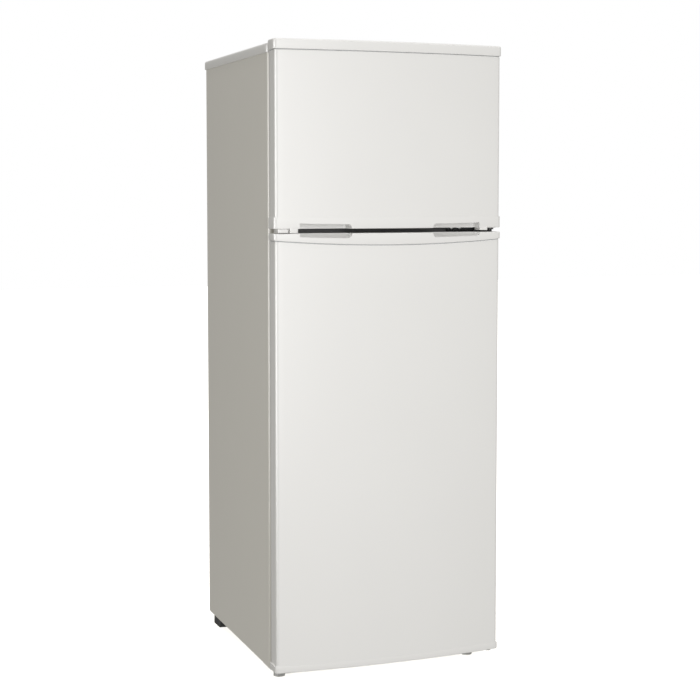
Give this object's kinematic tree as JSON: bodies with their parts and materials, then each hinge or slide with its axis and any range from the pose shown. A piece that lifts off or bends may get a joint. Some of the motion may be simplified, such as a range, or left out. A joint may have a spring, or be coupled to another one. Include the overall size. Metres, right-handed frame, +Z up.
{
  "type": "top freezer refrigerator",
  "caption": "Free-standing top freezer refrigerator with crowned doors on right-hand hinges, finger grips, liners, shelves, door racks and a rear compressor bay.",
  "frame": {"origin": "middle of the footprint, on the floor under the feet", "axes": "+Z up; the doors face -Y; +X is to the right of someone facing the doors"},
  "size_m": [0.549, 0.5942, 1.43],
  "materials": {
    "white_steel": "gloss",
    "white_trim": "satin",
    "liner_white": "satin",
    "gasket": "matte",
    "foam": "matte",
    "galvanised": "satin",
    "zinc": "satin",
    "black_steel": "satin",
    "black_plastic": "matte",
    "black_rubber": "matte",
    "copper": "satin",
    "aluminium": "satin",
    "glass": "polished",
    "clear_plastic": "gloss",
    "foot_grey": "satin"
  },
  "bodies": {
    "cabinet": {"side_panel_left": "white_steel", "side_panel_right": "white_steel", "top_panel": "white_steel", "back_panel": "galvanised", "base_panel": "galvanised", "top_rail": "white_steel", "center_rail": "white_steel", "base_rail": "white_steel", "cabinet_foam": "foam", "freezer_liner": "liner_white", "fridge_liner": "liner_white", "shelf_lower": "glass", "shelf_upper": "glass", "crisper_cover": "glass", "freezer_shelf": "aluminium", "evaporator_plate": "aluminium", "thermostat_housing": "liner_white", "worktop": "white_trim", "top_hinge_bracket": "zinc", "middle_hinge_bracket": "zinc", "middle_hinge_spacer": "white_trim", "middle_hinge_screw_1": "zinc", "middle_hinge_screw_2": "zinc", "rail_blank_plate": "white_trim", "bottom_hinge_bracket": "zinc", "foot_bracket_left": "zinc", "rear_foot_left": "black_rubber", "rear_foot_right": "black_rubber", "compressor_base": "zinc", "compressor": "black_steel", "compressor_grommet_1": "black_rubber", "compressor_grommet_2": "black_rubber", "compressor_grommet_3": "black_rubber", "compressor_grommet_4": "black_rubber", "relay_box": "black_plastic", "evaporation_tray": "black_plastic", "suction_tube": "copper", "cord_gland": "black_plastic", "condenser_tube": "copper"},
    "freezer_door": {"freezer_door_skin": "white_steel", "freezer_door_foam": "foam", "freezer_door_top_cap": "white_trim", "freezer_door_bottom_cap": "white_trim", "freezer_door_liner": "liner_white", "freezer_door_gasket": "gasket", "freezer_door_rack": "clear_plastic", "hinge_hole_plug": "white_trim"},
    "fridge_door": {"fridge_door_skin": "white_steel", "fridge_door_foam": "foam", "fridge_door_top_cap": "white_trim", "fridge_door_bottom_cap": "white_trim", "fridge_door_liner": "liner_white", "fridge_door_gasket": "gasket", "fridge_door_bin_lower": "clear_plastic", "fridge_door_bin_upper": "clear_plastic"},
    "thermostat_dial": {"thermostat_knob": "liner_white"},
    "switch_plunger": {"door_switch": "white_trim"},
    "crisper": {"crisper_drawer": "clear_plastic"},
    "foot_left": {"front_foot_left": "foot_grey"},
    "foot_right": {"front_foot_right": "foot_grey"}
  },
  "joints": [
    {"name": "freezer_door_hinge", "type": "hinge", "parent": "cabinet", "child": "freezer_door", "pos_m": [0.256, -0.25985, 1.2], "axis": [0, 0, 1], "range_deg": [0, 115]},
    {"name": "fridge_door_hinge", "type": "hinge", "parent": "cabinet", "child": "fridge_door", "pos_m": [0.256, -0.25985, 0.5], "axis": [0, 0, 1], "range_deg": [0, 115]},
    {"name": "thermostat_turn", "type": "hinge", "parent": "cabinet", "child": "thermostat_dial", "pos_m": [0.19, -0.06285, 0.87], "axis": [-1, 0, 0], "range_deg": [0, 300]},
    {"name": "door_switch_press", "type": "slide", "parent": "cabinet", "child": "switch_plunger", "axis": [0, 1, 0], "range_m": [0, 0.002], "stiffness_N_per_m": 150, "springref_m": -0.006},
    {"name": "crisper_slide", "type": "slide", "parent": "cabinet", "child": "crisper", "axis": [0, -1, 0], "range_m": [0, 0.024]},
    {"name": "front_foot_left_turn", "type": "hinge", "parent": "cabinet", "child": "foot_left", "pos_m": [-0.245, -0.21585, 0.01], "axis": [0, 0, 1], "continuous": true},
    {"name": "front_foot_right_turn", "type": "hinge", "parent": "cabinet", "child": "foot_right", "pos_m": [0.222, -0.21585, 0.01], "axis": [0, 0, 1], "continuous": true}
  ]
}
